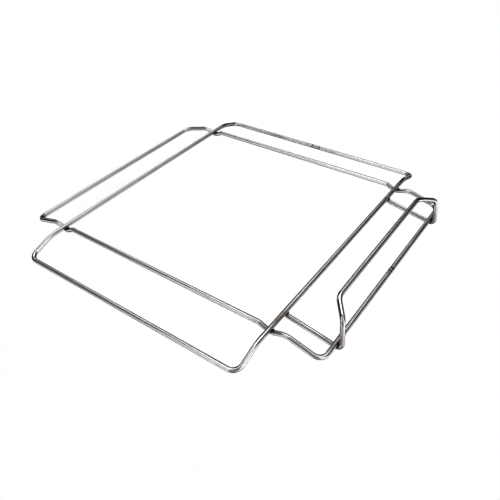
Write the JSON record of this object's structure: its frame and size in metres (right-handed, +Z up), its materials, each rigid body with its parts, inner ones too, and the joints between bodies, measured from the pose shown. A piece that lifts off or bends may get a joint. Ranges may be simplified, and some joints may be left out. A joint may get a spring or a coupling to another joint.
{
  "type": "wire support frame",
  "caption": "Bent round-wire frame of two crossed rectangular loops with sloped ends and a raised wire lift handle at one side.",
  "frame": {"origin": "centre of the bounding box in plan, at the lowest point of the handle's two turns", "axes": "+X towards the handle, +Y along the handle's bar towards the back, +Z up when the frame rests on its end rails"},
  "size_m": [0.3964, 0.3822, 0.0435],
  "materials": {
    "drawn_wire": "bright drawn stainless wire",
    "weld_bead": "heat-tinted weld"
  },
  "bodies": {
    "root": {"upper_loop_wire": "drawn_wire", "lower_loop_wire": "drawn_wire", "handle_wire": "drawn_wire", "cross_weld_front_left": "weld_bead", "cross_weld_front_right": "weld_bead", "cross_weld_back_left": "weld_bead", "cross_weld_back_right": "weld_bead", "foot_weld_front": "weld_bead", "foot_weld_back": "weld_bead", "turn_weld_front": "weld_bead", "turn_weld_back": "weld_bead", "upper_butt_weld": "weld_bead", "lower_butt_weld": "weld_bead"}
  },
  "joints": []
}
